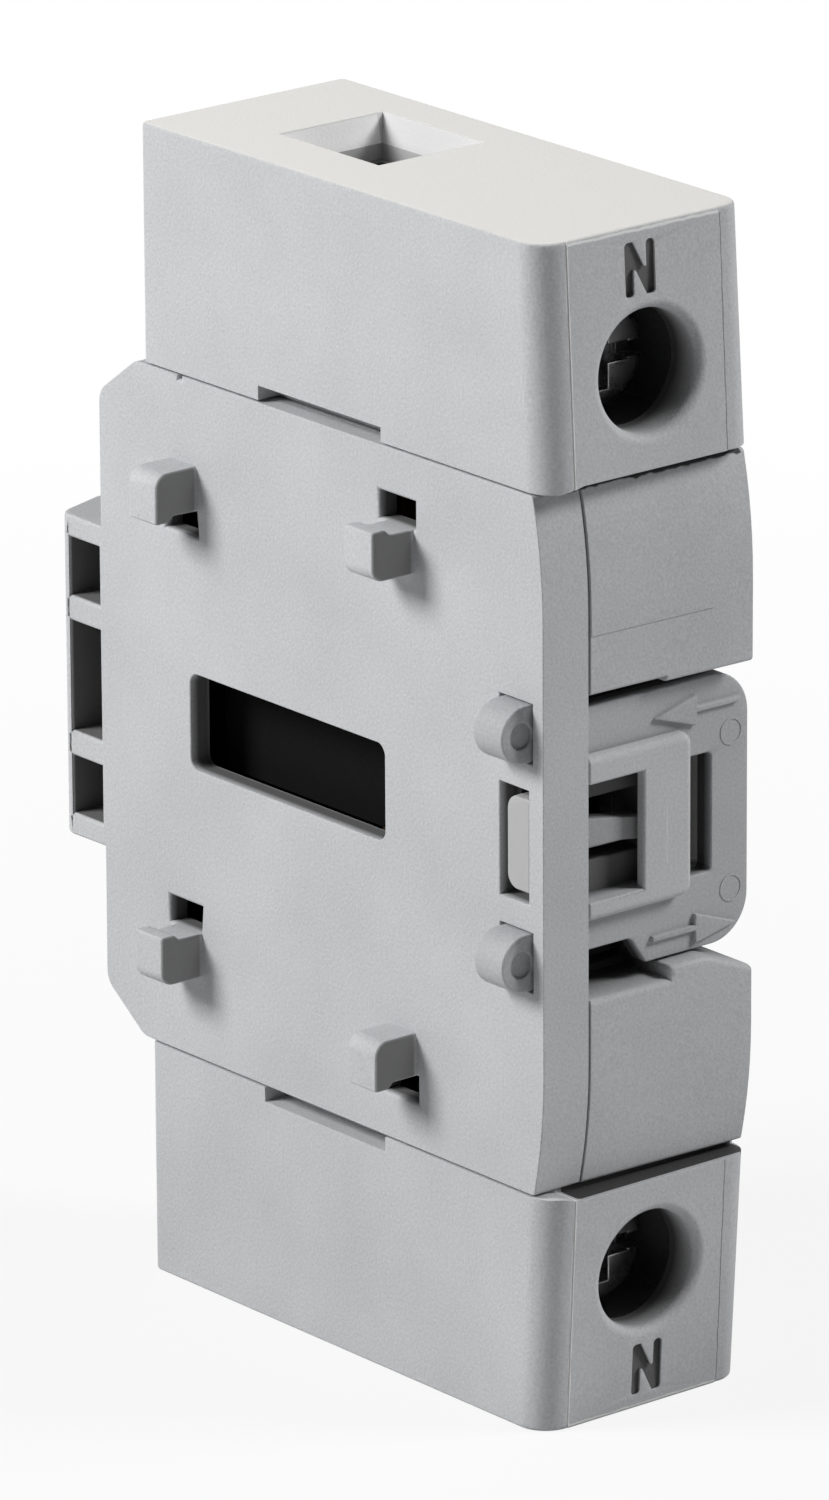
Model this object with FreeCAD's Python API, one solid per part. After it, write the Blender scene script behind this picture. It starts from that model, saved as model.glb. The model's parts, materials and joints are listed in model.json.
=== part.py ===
import FreeCAD
import Part
import math
import os

# Neutral terminal block, in millimetres.
# X = 0 is the face that meets the neighbouring module, +X points away from it.
# -Y is the front with the screws and the locking slide, +Z is up.
# Z = 0 is mid height, Y = 0 is the middle of the window and of the hooks.

# Overall
MODULE_W = 17.5
WALL = 1.7
SEAM = 0.12
SHUT_GAP = 0.15
OVERCUT = 1.0

# Middle body
BODY_HALF_H = 23.85
BODY_REAR = 19.9
BODY_FRONT = -26.7
BODY_EDGE_R = 0.3
PANEL_STAND = 0.07
BODY_PANEL_RIGHT = 14.24
BODY_PANEL_LOW = 13.9
FRONT_DROP = 1.0
FRONT_RUN = 4.45
FRONT_FLAT = 0.35
FRONT_BEND_Z = BODY_HALF_H - FRONT_RUN
FRONT_BEND_R = (FRONT_RUN - FRONT_FLAT) / math.tan(math.atan(FRONT_DROP / FRONT_RUN) / 2)
REAR_CUT = (4.0, 2.95)
REAR_CUT_Y = BODY_REAR - REAR_CUT[0]
REAR_CUT_Z = BODY_HALF_H - REAR_CUT[1]
REAR_CUT_R = 1.5
FLOOR_R = 0.6

# Side plate
PLATE_T = 1.7
PLATE_SETBACK = 0.5
PLATE_FRONT = BODY_FRONT + PLATE_SETBACK
STRIP_W = 3.85
STRIP_T = 0.8
STRIP_T_THICK = 1.6
STRIP_THIN_HALF = 10.6

# Window in the side plate
WINDOW_Y = (-10.06, 10.4)
WINDOW_HALF = 3.36
WINDOW_R = 0.8

# Snap hooks and their core holes; the z values count from the end of the body
HOOK_LEN = 3.45
HOOK_LIP = 0.4
HOOK_LIP_LEN = 1.55
HOOK_R = 1.0
REAR_HOOK_Y = (9.4, 12.4)
REAR_HOOK_END = (9.0, 5.9)
REAR_HOOK_Z = (BODY_HALF_H - REAR_HOOK_END[0], BODY_HALF_H - REAR_HOOK_END[1])
REAR_CORE_Y = (9.4, 12.9)
CORE_HOLE = 1.89
REAR_CORE_Z = (REAR_HOOK_Z[0] - CORE_HOLE, REAR_HOOK_Z[0])
FRONT_HOOK_Y = (-13.2, -10.2)
FRONT_HOOK_END = (8.05, 5.0)
FRONT_HOOK_Z = (BODY_HALF_H - FRONT_HOOK_END[0], BODY_HALF_H - FRONT_HOOK_END[1])
FRONT_CORE_Y = (-13.3, -9.65)
FRONT_CORE_Z = (FRONT_HOOK_Z[1], FRONT_HOOK_Z[1] + CORE_HOLE)

# Ladder-shaped spacer behind the side plate
LADDER_HALF = 11.4
LADDER_SEAT = 1.15
LADDER_STANDS = 4.4
LADDER_ROOT = BODY_REAR - LADDER_SEAT
LADDER_REAR = BODY_REAR + LADDER_STANDS
LADDER_BULGE = 1.3
LADDER_SLANT_X = 4.0
LADDER_FAR = 5.5
LADDER_X = MODULE_W - LADDER_FAR
LADDER_R = 1.2
POCKET_ROOT = 0.3
POCKET_WALL = 0.9
POCKET_FLOOR = 1.4
POCKET_Y = (BODY_REAR + POCKET_ROOT, LADDER_REAR - POCKET_WALL)
POCKET_MID_HALF = 3.9
POCKET_END_Z = (5.7, 9.8)
POCKET_END_X = LADDER_X - POCKET_FLOOR

# Locking slide; its x values count from its right end
SLIDE_PLAY = 0.3
SLIDE_CLEAR = 0.2
SLIDE_FRONT = PLATE_FRONT + STRIP_T + SLIDE_CLEAR
SLIDE_T = 1.5
SLIDE_OUT = 0.9
SLIDE_RIGHT = MODULE_W + SLIDE_OUT
SLIDE_LEFT = 3.0
SLIDE_TOP = 8.75
SLIDE_LOW = -9.85
SLIDE_STEP_H = 1.95
SLIDE_LOW_LEFT = SLIDE_LOW + SLIDE_STEP_H
SLIDE_STEP_IN = (10.1, 8.8)
SLIDE_STEP_X = (SLIDE_RIGHT - SLIDE_STEP_IN[0], SLIDE_RIGHT - SLIDE_STEP_IN[1])
SLIDE_STEP_R = 0.6
SLIDE_R = 3.1
SLOT_IN = 3.2
SLOT_RIGHT = SLIDE_RIGHT - SLOT_IN
SLOT_TOP = 3.45
SLOT_LOW = -4.75
SLOT_R = 0.3

# Slide bay in the front of the middle body; its x values count from the far side
BED_DEPTH = 3.5
BED_FRONT = SLIDE_FRONT + BED_DEPTH
BED_T = 1.5
BED_EDGE = 0.5
BAY_WALL = 1.5
BAY_OVER = (1.13, 0.84)
BAY_TOP = SLIDE_TOP + BAY_OVER[0]
BAY_TOP_RIGHT = SLIDE_TOP + BAY_OVER[1]
BAY_STEP_IN = 7.3
BAY_STEP_X = MODULE_W - BAY_STEP_IN
BAY_UNDER = 1.1
BAY_LOW = SLIDE_LOW - BAY_UNDER
LEDGE_IN = 6.87
LEDGE_X = MODULE_W - LEDGE_IN
LEDGE_TOP = SLIDE_LOW - SLIDE_CLEAR
LEDGE_KNEE_IN = 3.7
LEDGE_KNEE_X = MODULE_W - LEDGE_KNEE_IN
LEDGE_FALL = 1.35
LEDGE_END = LEDGE_TOP - LEDGE_FALL

# Fingers and arrows of the slide; arrow x is (tip, base, shaft end), z is (base, base, tip, shaft)
FINGER_SET = 0.3
FINGER_Y = (SLIDE_FRONT + FINGER_SET, BED_FRONT - SLIDE_PLAY)
FINGER_Z = 7.8
FINGER_HALF = 1.95
FINGER_NOSE_X = -0.45
FINGER_ROOT = 1.8
FINGER_END_X = SLIDE_LEFT + FINGER_ROOT
DIMPLE_R = 0.9
DIMPLE_DEPTH = 0.25
DIMPLE_SET = 0.3
RING_R = 0.95
RING_W = 0.14
RING_STAND = 0.05
RING_IN = 1.5
RING_Z = (4.53, -6.27)
ARROW_H = 0.35
ARROW_SHAFT = 0.42
UPPER_ARROW_IN = (8.3, 4.66, 0.9)
UPPER_ARROW_Z = (7.78, 5.62, 6.8, 6.75)
LOWER_ARROW_IN = (1.15, 4.83, 8.5)
LOWER_ARROW_Z = (-7.28, -9.39, -8.6, -8.3)

# Windows of the side plate beside the slide
PASS_FIT = 0.1
SMALL_WINDOW_Y = (SLIDE_FRONT + PASS_FIT, BED_FRONT - PASS_FIT)
SMALL_WINDOW_Z = (FINGER_Z - FINGER_HALF - PASS_FIT, FINGER_Z + FINGER_HALF + PASS_FIT)
MID_WINDOW_SET = 0.5
MID_WINDOW_Y = (SLIDE_FRONT + MID_WINDOW_SET, BED_FRONT - PASS_FIT)
MID_WINDOW_HALF = 3.88

# Retaining frame over the slide
FRAME_FIT = 0.15
FRAME_HEAD_REAR = SLIDE_FRONT - FRAME_FIT
FRAME_FRONT = PLATE_FRONT
FRAME_LEFT = STRIP_W + SEAM
FRAME_IN = 2.35
FRAME_RIGHT = SLOT_RIGHT - FRAME_IN
FRAME_HALF = 5.65
FRAME_R = 0.9
FRAME_SOFT_R = 0.6
FRAME_BAR = 4.25
FRAME_WIN_RIGHT = FRAME_RIGHT - FRAME_BAR
FRAME_WIN_Z = (-4.3, 3.75)
STEM_SET = (1.1, 0.2)
STEM_X = (FRAME_WIN_RIGHT + STEM_SET[0], FRAME_RIGHT - STEM_SET[1])
STEM_HALF = 2.9
CORE_SET = 0.9
CORE_FRONT = SLIDE_FRONT + CORE_SET
CORE_FIT = (0.3, 0.25)
CORE_TOP = SLOT_TOP - CORE_FIT[0]
CORE_LOW = SLOT_LOW + CORE_FIT[1]
CORE_WIN_X = (3.6, STEM_X[0])
CORE_WIN_HALF = 2.1
CORE_RIB = 0.2
FOOT_LEFT = 0.1
FOOT_OVERLAP = 0.1
FOOT_X = (FOOT_LEFT, FRAME_LEFT + FOOT_OVERLAP)
FOOT_FRONT = SLIDE_FRONT + MID_WINDOW_SET
FOOT_SHORT = 0.7
FOOT_REAR = BED_FRONT - FOOT_SHORT
FOOT_HALF = 3.2
FOOT_R = 1.0
TONGUE_LEFT = 1.4
TONGUE_SET = 0.2
TONGUE_T = 1.4
TONGUE_Y = (SLIDE_FRONT + TONGUE_SET, SLIDE_FRONT + TONGUE_SET + TONGUE_T)
TONGUE_TOP = (0.25, 1.2)
TONGUE_LOW = (-1.1, -1.0)

# Terminal housings
TERM_H = 16.5
TERM_IN = BODY_HALF_H + SHUT_GAP
HALF_H = TERM_IN + TERM_H
TERM_DRAFT = 0.15
TERM_RIGHT_OUT = MODULE_W - TERM_DRAFT
TERM_REAR_SET = 0.85
TERM_REAR = REAR_CUT_Y - TERM_REAR_SET
TERM_SETBACK = (-0.1, 0.8)
TERM_FRONT_IN = BODY_FRONT + TERM_SETBACK[0]
TERM_FRONT_OUT = BODY_FRONT + TERM_SETBACK[1]
TERM_R_LEFT = 2.2
TERM_R_RIGHT = 1.75
TERM_R_REAR = 0.5
TERM_WALL = 1.8
TERM_FRONT_WALL = 2.2
TERM_END_WALL = 4.8
TERM_PANEL_IN = 2.4
TERM_PANEL_X = (TERM_R_LEFT, MODULE_W - TERM_PANEL_IN)
TERM_LIFT = 0.35
TERM_LIFT_X = (1.2, 3.0)
TERM_LIFT_IN = 2.0
CHAMBER_Z = (TERM_IN + TERM_WALL, HALF_H - TERM_END_WALL)
NOTCH_Y = (-9.85, 2.8)
NOTCH_H = 1.0
NICK_Y = 11.0
NICK_W = 0.35
NICK_H = 0.3
TAB_FIT = 0.15
TAB_MARGIN = (4.5, 4.0)
TAB_X = (TAB_MARGIN[0], MODULE_W - TAB_MARGIN[1])
TAB_T = 2.5
TAB_SET = 5.05
TAB_Y = (TERM_REAR - TAB_SET, TERM_REAR - TAB_SET + TAB_T)

# Wire funnel in the outer end of each terminal housing
FUNNEL_MARGIN = (5.0, 3.7)
FUNNEL_X = (FUNNEL_MARGIN[0], MODULE_W - FUNNEL_MARGIN[1])
FUNNEL_Y = (-3.8, 6.5)
FUNNEL_DEPTH = 2.0
FUNNEL_DRAFT = 0.4
FUNNEL_STEP = 3.1
FUNNEL_LEDGE = 0.6

# Screw and its access hole
SCREW_ASIDE = 0.12
SCREW_X = MODULE_W / 2 + SCREW_ASIDE
SCREW_Z = (CHAMBER_Z[0] + CHAMBER_Z[1]) / 2
HOLE_R = 4.1
HOLE_RIM_R = 0.7
HEAD_DEPTH = 5.3
HEAD_FRONT = TERM_FRONT_IN + HEAD_DEPTH
HEAD_T = 2.6
HEAD_FIT = 0.5
HEAD_R = HOLE_R - HEAD_FIT
HEAD_EDGE_R = 0.4
SHANK_R = 3.0
THREAD_FIT = 0.075
TIP_TAPER = 1.0
TIP_LEN = 1.2
TIP_GAP = 0.05
SLOT_W = 1.0
SLOT_DEPTH = 1.3
CROSS_W = 1.2
CROSS_LEN = 4.6
CROSS_DEPTH = 1.9

# Clamp cage, drawn fully open, and the link bar through it
BAR_FRONT = -6.0
BAR_T = 2.1
BAR_FIT = 0.2
BAR_R = 1.0
BAR_HALF_L = CHAMBER_Z[1] - BAR_FIT
CAGE_MARGIN = 2.95
CAGE_HALF_W = MODULE_W / 2 - CAGE_MARGIN
CAGE_SIDE = 1.4
CAGE_BAR_FIT = 0.4
BAR_HALF_W = CAGE_HALF_W - CAGE_SIDE - CAGE_BAR_FIT
CAGE_NUT_T = 3.0
CAGE_NUT_GAP = 0.3
CAGE_REAR_IN = 6.9
CAGE_REAR_T = 2.0
CAGE_PLAY = 0.35
CAGE_R = 1.0

# Cover over the link bar behind the window
COVER_SET = 2.0
COVER_X = PLATE_T + COVER_SET
COVER_T = 1.0
COVER_LAP = 0.9
COVER_Y = (WINDOW_Y[0] - COVER_LAP, WINDOW_Y[1] + COVER_LAP)
COVER_HALF = WINDOW_HALF + COVER_LAP
COVER_LEG = 7.0
COVER_LEG_T = 1.0

# Neutral marks: x, and distance from the outer end
MARK_W = 2.5
MARK_H = 3.6
MARK_STROKE = 0.7
MARK_KNEE = 0.3
MARK_R = (0.3, 0.12)
MARK_DEPTH = 0.3
UPPER_MARK_X = 8.25
LOWER_MARK_X = 8.9
MARK_END = 2.8


def box(x, y, z):
    """A block between two values on each axis."""
    size = (x[1] - x[0], y[1] - y[0], z[1] - z[0])
    return Part.makeBox(size[0], size[1], size[2], FreeCAD.Vector(x[0], y[0], z[0]))


def place(axis, a, b, c):
    """A point from two values in a plane and one along its normal axis."""
    if axis == "x":
        return FreeCAD.Vector(c, a, b)
    if axis == "y":
        return FreeCAD.Vector(a, c, b)
    return FreeCAD.Vector(a, b, c)


def corner_arc(before, here, after, radius):
    """The start, middle and end of the arc that rounds a corner."""
    into = (before - here).normalize()
    out = (after - here).normalize()
    half = math.acos(max(-1.0, min(1.0, into.dot(out)))) / 2.0
    reach = radius / math.tan(half)
    bisector = (into + out).normalize()
    centre = here + bisector * (radius / math.sin(half))
    return here + into * reach, centre - bisector * radius, here + out * reach


def rounded_wire(axis, corners, level):
    """A closed outline of (a, b, radius) corners at a level on the axis."""
    points = [place(axis, a, b, level) for a, b, radius in corners]
    count = len(points)
    arcs = []
    for i in range(count):
        radius = corners[i][2]
        here = points[i]
        if radius > 0:
            arcs.append(corner_arc(points[i - 1], here, points[(i + 1) % count], radius))
        else:
            arcs.append((here, None, here))
    edges = []
    for i in range(count):
        start, middle, end = arcs[i]
        if middle is not None:
            edges.append(Part.Arc(start, middle, end).toShape())
        following = arcs[(i + 1) % count][0]
        if end.distanceToPoint(following) > 1e-6:
            edges.append(Part.makeLine(end, following))
    return Part.Wire(edges)


def prism(axis, corners, low, high):
    """An outline pulled along an axis from low to high."""
    face = Part.Face(rounded_wire(axis, corners, low))
    return face.extrude(place(axis, 0, 0, high - low))


def rectangle(a, b, radius):
    """Four corners of a rectangle, all with one radius."""
    return [(a[0], b[0], radius), (a[1], b[0], radius), (a[1], b[1], radius), (a[0], b[1], radius)]


def fuse(shapes):
    """One solid from shapes that overlap or meet."""
    joined = shapes[0].multiFuse(shapes[1:])
    return joined.removeSplitter()


def cut(shape, tools):
    """The shape less every tool."""
    return shape.cut(Part.makeCompound(tools)).removeSplitter()


def mirrored(shape):
    """The same shape on the other side of mid height."""
    return shape.mirror(FreeCAD.Vector(0, 0, 0), FreeCAD.Vector(0, 0, 1))


def both(shape):
    """A shape and its mirror image about mid height."""
    return [shape, mirrored(shape)]


def side_corners(front):
    """Outline of the middle body in Y and Z, with its front face at the value given."""
    top = BODY_HALF_H
    edge = front + FRONT_DROP
    return [
        (edge, -top, BODY_EDGE_R),
        (front, -FRONT_BEND_Z, FRONT_BEND_R),
        (front, FRONT_BEND_Z, FRONT_BEND_R),
        (edge, top, BODY_EDGE_R),
        (REAR_CUT_Y, top, REAR_CUT_R),
        (BODY_REAR, REAR_CUT_Z, REAR_CUT_R),
        (BODY_REAR, -REAR_CUT_Z, REAR_CUT_R),
        (REAR_CUT_Y, -top, REAR_CUT_R),
    ]


def hook(y, z, away):
    """One snap hook; away is the side (+1 outwards) its rounded corner points to."""
    base, far = (z[0], z[1]) if away > 0 else (z[1], z[0])
    post = prism("y", [(PLATE_T, base, 0), (-HOOK_LEN, base, 0), (-HOOK_LEN, far, HOOK_R), (PLATE_T, far, 0)],
                 y[0], y[1])
    lip_x = HOOK_LIP_LEN - HOOK_LEN
    lip = prism("y", [(lip_x, base, 0), (-HOOK_LEN, base, 0), (-HOOK_LEN, base - away * HOOK_LIP, 0),
                      (lip_x - HOOK_LIP, base - away * HOOK_LIP, 0)], y[0], y[1])
    return fuse([post, lip])


def plate_windows():
    """Every opening through the side plate, and the small nick in its upper edge."""
    span = (-OVERCUT, PLATE_T + OVERCUT)
    tools = [prism("x", rectangle(WINDOW_Y, (-WINDOW_HALF, WINDOW_HALF), WINDOW_R), span[0], span[1])]
    tools.append(box(span, MID_WINDOW_Y, (-MID_WINDOW_HALF, MID_WINDOW_HALF)))
    tools += both(box(span, SMALL_WINDOW_Y, SMALL_WINDOW_Z))
    tools += both(box(span, REAR_CORE_Y, REAR_CORE_Z))
    tools += both(box(span, FRONT_CORE_Y, FRONT_CORE_Z))
    tools.append(box(span, (NICK_Y, NICK_Y + NICK_W), (BODY_HALF_H - NICK_H, BODY_HALF_H + OVERCUT)))
    return tools


def ladder():
    """The hollow spacer behind the plate, open towards the neighbouring module."""
    rear = LADDER_REAR
    plan = [(0.0, LADDER_ROOT, 0), (LADDER_X, LADDER_ROOT, 0), (LADDER_X, rear + LADDER_BULGE, LADDER_R),
            (LADDER_SLANT_X, rear + LADDER_BULGE, 0), (0.0, rear, LADDER_R)]
    block = prism("z", plan, -LADDER_HALF, LADDER_HALF)
    span = (-OVERCUT, POCKET_END_X)
    tools = [box(span, POCKET_Y, (-POCKET_MID_HALF, POCKET_MID_HALF))]
    tools += both(box(span, POCKET_Y, POCKET_END_Z))
    return cut(block, tools)


def make_side_plate():
    """Side plate with its front strip, hooks, windows and ladder."""
    outline = side_corners(PLATE_FRONT)
    slab = prism("x", outline, 0.0, PLATE_T)
    strip_whole = prism("x", outline, 0.0, STRIP_W)
    thin = box((-OVERCUT, STRIP_W + OVERCUT), (PLATE_FRONT - OVERCUT, PLATE_FRONT + STRIP_T),
               (-STRIP_THIN_HALF, STRIP_THIN_HALF))
    thick_end = PLATE_FRONT + STRIP_T_THICK
    thick = both(box((-OVERCUT, STRIP_W + OVERCUT), (PLATE_FRONT - OVERCUT, thick_end),
                     (STRIP_THIN_HALF, BODY_HALF_H)))
    strip = strip_whole.common(fuse([thin] + thick))
    body = cut(fuse([slab, strip]), plate_windows())
    hooks = both(hook(REAR_HOOK_Y, REAR_HOOK_Z, 1))
    hooks += both(hook(FRONT_HOOK_Y, FRONT_HOOK_Z, -1))
    return fuse([body, ladder()] + hooks)


def bay_tool():
    """The space in the front of the middle body where the slide runs."""
    front = BODY_FRONT - OVERCUT
    right = MODULE_W + OVERCUT
    slope = (LEDGE_END - LEDGE_TOP) / (MODULE_W - LEDGE_KNEE_X)
    end = LEDGE_END + slope * OVERCUT
    face = [
        (-OVERCUT, BAY_LOW, 0), (LEDGE_X, BAY_LOW, 0), (LEDGE_X, LEDGE_TOP, 0), (LEDGE_KNEE_X, LEDGE_TOP, 0),
        (right, end, 0), (right, BAY_TOP_RIGHT, 0), (BAY_STEP_X, BAY_TOP_RIGHT, 0), (BAY_STEP_X, BAY_TOP, 0),
        (-OVERCUT, BAY_TOP, 0),
    ]
    return prism("y", face, front, BED_FRONT)


def body_cavities():
    """The hollow inside the middle body, open towards the side plate."""
    left = -OVERCUT
    right = MODULE_W - WALL
    rear = LADDER_ROOT - SEAM - WALL
    inner = BODY_HALF_H - WALL
    main = prism("x", [(BED_FRONT + BED_T, -inner, FLOOR_R), (REAR_CUT_Y - WALL, -inner, REAR_CUT_R),
                       (rear, WALL - REAR_CUT_Z, REAR_CUT_R), (rear, REAR_CUT_Z - WALL, REAR_CUT_R),
                       (REAR_CUT_Y - WALL, inner, REAR_CUT_R), (BED_FRONT + BED_T, inner, FLOOR_R)],
                 left, right)
    front = (BODY_FRONT + WALL, BED_FRONT + BED_T + OVERCUT)
    upper = box((left, right), front, (BAY_TOP + BAY_WALL, inner))
    lower = box((left, right), front, (-inner, BAY_LOW - BAY_WALL))
    return [main, upper, lower]


def bed_openings():
    """Openings in the bed behind the frame's window, the slide's slot and its step."""
    span = (BED_FRONT - OVERCUT, BED_FRONT + BED_T + OVERCUT)
    behind_window = box((FRAME_LEFT, STEM_X[0]), span, (-CORE_WIN_HALF, CORE_WIN_HALF))
    behind_slot = box((FRAME_RIGHT + SLIDE_PLAY, SLOT_RIGHT), span, (SLOT_LOW, SLOT_TOP))
    below_step = box((FRAME_LEFT, LEDGE_X), span, (BAY_LOW + BED_EDGE, FINGER_HALF - FINGER_Z - BED_EDGE))
    return [behind_window, behind_slot, below_step]


def bed_rails():
    """Two rails on the bed that carry the arms of the slide."""
    front = SLIDE_FRONT + SLIDE_T + SLIDE_PLAY
    x = (PLATE_T, MODULE_W)
    upper = box(x, (front, BED_FRONT), (SLOT_TOP + SLIDE_PLAY, FINGER_Z - FINGER_HALF - SLIDE_PLAY))
    lower = box(x, (front, BED_FRONT), (FINGER_HALF + SLIDE_PLAY - FINGER_Z, SLOT_LOW - SLIDE_PLAY))
    return [upper, lower]


def terminal_slots():
    """Slots in the end walls for the terminal housings' tabs and for the link bar."""
    z = (BODY_HALF_H - WALL - OVERCUT, BODY_HALF_H + OVERCUT)
    x = (TAB_X[0] - TAB_FIT, TAB_X[1] + TAB_FIT)
    y = (TAB_Y[0] - TAB_FIT, TAB_Y[1] + TAB_FIT)
    bar_x = (SCREW_X - BAR_HALF_W - BAR_FIT, SCREW_X + BAR_HALF_W + BAR_FIT)
    bar_y = (BAR_FRONT - BAR_FIT, BAR_FRONT + BAR_T + BAR_FIT)
    return both(box(x, y, z)) + both(box(bar_x, bar_y, z))


def body_block(stand):
    """The outer form of the middle body, its front moved outwards by the value given."""
    near = rounded_wire("x", side_corners(PLATE_FRONT - stand), PLATE_T)
    far = rounded_wire("x", side_corners(BODY_FRONT - stand), MODULE_W)
    return Part.makeLoft([near, far], True, True)


def make_main_housing():
    """The middle body: a shell open to the side plate, with the slide's bay in its front."""
    panel = body_block(PANEL_STAND).common(box((STRIP_W + SEAM, BODY_PANEL_RIGHT),
                                               (BODY_FRONT - OVERCUT, BODY_FRONT + WALL),
                                               (BODY_PANEL_LOW, BODY_HALF_H)))
    past_strip = box((0.0, STRIP_W + SEAM), (BODY_FRONT - OVERCUT, PLATE_FRONT + STRIP_T_THICK + SEAM),
                     (-HALF_H, HALF_H))
    ladder_seat = box((0.0, LADDER_X + SEAM), (LADDER_ROOT - SEAM, BODY_REAR + OVERCUT),
                      (-LADDER_HALF - SEAM, LADDER_HALF + SEAM))
    tools = [past_strip, ladder_seat, bay_tool()]
    tools += body_cavities() + bed_openings() + terminal_slots()
    return fuse([cut(fuse([body_block(0.0), panel]), tools)] + bed_rails())


def arrow(inward, z):
    """A raised arrow on the slide, from its distances to the right end and its heights."""
    front = SLIDE_FRONT - ARROW_H
    x = [SLIDE_RIGHT - value for value in inward]
    head = prism("y", [(x[0], z[2], 0), (x[1], z[0], 0), (x[1], z[1], 0)], front, SLIDE_FRONT)
    along = (min(x[1], x[2]), max(x[1], x[2]))
    shaft = box(along, (front, SLIDE_FRONT), (z[3] - ARROW_SHAFT / 2, z[3] + ARROW_SHAFT / 2))
    return [head, shaft]


def finger():
    """The upper locking finger with its round nose and the dimple near it."""
    nose = Part.makeCylinder(FINGER_HALF, FINGER_Y[1] - FINGER_Y[0],
                             FreeCAD.Vector(FINGER_NOSE_X, FINGER_Y[0], FINGER_Z), FreeCAD.Vector(0, 1, 0))
    bar = box((FINGER_NOSE_X, FINGER_END_X), FINGER_Y, (FINGER_Z - FINGER_HALF, FINGER_Z + FINGER_HALF))
    dimple = Part.makeCylinder(DIMPLE_R, DIMPLE_DEPTH + OVERCUT,
                               FreeCAD.Vector(FINGER_NOSE_X - DIMPLE_SET, FINGER_Y[0] - OVERCUT, FINGER_Z),
                               FreeCAD.Vector(0, 1, 0))
    return cut(fuse([nose, bar]), [dimple])


def ring(z):
    """A faint raised ring near the right end of the slide."""
    start = FreeCAD.Vector(SLIDE_RIGHT - RING_IN, SLIDE_FRONT - RING_STAND, z)
    along = FreeCAD.Vector(0, 1, 0)
    disc = Part.makeCylinder(RING_R, RING_STAND + SLIDE_T / 2, start, along)
    return disc.cut(Part.makeCylinder(RING_R - RING_W, RING_STAND, start, along))


def make_locking_slide():
    """The C-shaped slide with two arms, two fingers, two arrows and two rings."""
    face = [
        (SLIDE_LEFT, SLIDE_TOP, 0), (SLIDE_LEFT, SLOT_TOP, 0), (SLOT_RIGHT, SLOT_TOP, SLOT_R),
        (SLOT_RIGHT, SLOT_LOW, SLOT_R), (SLIDE_LEFT, SLOT_LOW, 0), (SLIDE_LEFT, SLIDE_LOW_LEFT, 0),
        (SLIDE_STEP_X[0], SLIDE_LOW_LEFT, SLIDE_STEP_R), (SLIDE_STEP_X[1], SLIDE_LOW, SLOT_R),
        (SLIDE_RIGHT, SLIDE_LOW, SLIDE_R), (SLIDE_RIGHT, SLIDE_TOP, SLIDE_R),
    ]
    plate = prism("y", face, SLIDE_FRONT, SLIDE_FRONT + SLIDE_T)
    arrows = arrow(UPPER_ARROW_IN, UPPER_ARROW_Z) + arrow(LOWER_ARROW_IN, LOWER_ARROW_Z)
    return fuse([plate] + both(finger()) + arrows + [ring(z) for z in RING_Z])


def make_retaining_frame():
    """The frame over the slide, its stem through the slide's slot, its core and foot."""
    outline = [(FRAME_LEFT, -FRAME_HALF, 0), (FRAME_RIGHT, -FRAME_HALF, FRAME_R),
               (FRAME_RIGHT, FRAME_HALF, FRAME_R), (FRAME_LEFT, FRAME_HALF, 0)]
    head = prism("y", outline, FRAME_FRONT, FRAME_HEAD_REAR)
    soft = [edge for edge in head.Edges
            if edge.BoundBox.YMax < FRAME_FRONT + 0.01 and edge.BoundBox.XMax > FRAME_LEFT + 0.01]
    head = head.makeFillet(FRAME_SOFT_R, soft)
    window = box((FRAME_LEFT - OVERCUT, FRAME_WIN_RIGHT), (FRAME_FRONT - OVERCUT, SLIDE_FRONT), FRAME_WIN_Z)
    head = cut(head, [window])
    stem = box(STEM_X, (FRAME_HEAD_REAR, BED_FRONT), (-STEM_HALF, STEM_HALF))
    core = box((FRAME_LEFT, STEM_X[1]), (CORE_FRONT, BED_FRONT), (CORE_LOW, CORE_TOP))
    hollow = box(CORE_WIN_X, (CORE_FRONT - OVERCUT, BED_FRONT + OVERCUT), (-CORE_WIN_HALF, CORE_WIN_HALF))
    core = cut(core, [hollow])
    rib = box((FRAME_LEFT, STEM_X[1]), (FRAME_HEAD_REAR, CORE_FRONT), (CORE_LOW, CORE_LOW + CORE_RIB))
    foot = prism("x", [(FOOT_FRONT, -FOOT_HALF, 0), (FOOT_REAR, -FOOT_HALF, FOOT_R),
                       (FOOT_REAR, FOOT_HALF, FOOT_R), (FOOT_FRONT, FOOT_HALF, 0)], FOOT_X[0], FOOT_X[1])
    left = FOOT_LEFT + TONGUE_LEFT
    tongue = prism("y", [(left, TONGUE_LOW[1], 0), (STEM_X[0], TONGUE_LOW[0], 0),
                         (STEM_X[0], TONGUE_TOP[0], 0), (CORE_WIN_X[0], TONGUE_TOP[1], 0),
                         (left, TONGUE_TOP[1], 0)], TONGUE_Y[0], TONGUE_Y[1])
    return fuse([head, stem, core, rib, foot, tongue])


def terminal_corners(front, right):
    """Outline of a terminal housing in X and Y at one height."""
    return [
        (0.0, front, TERM_R_LEFT), (right, front, TERM_R_RIGHT),
        (right, TERM_REAR, TERM_R_REAR), (0.0, TERM_REAR, TERM_R_REAR),
    ]


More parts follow.
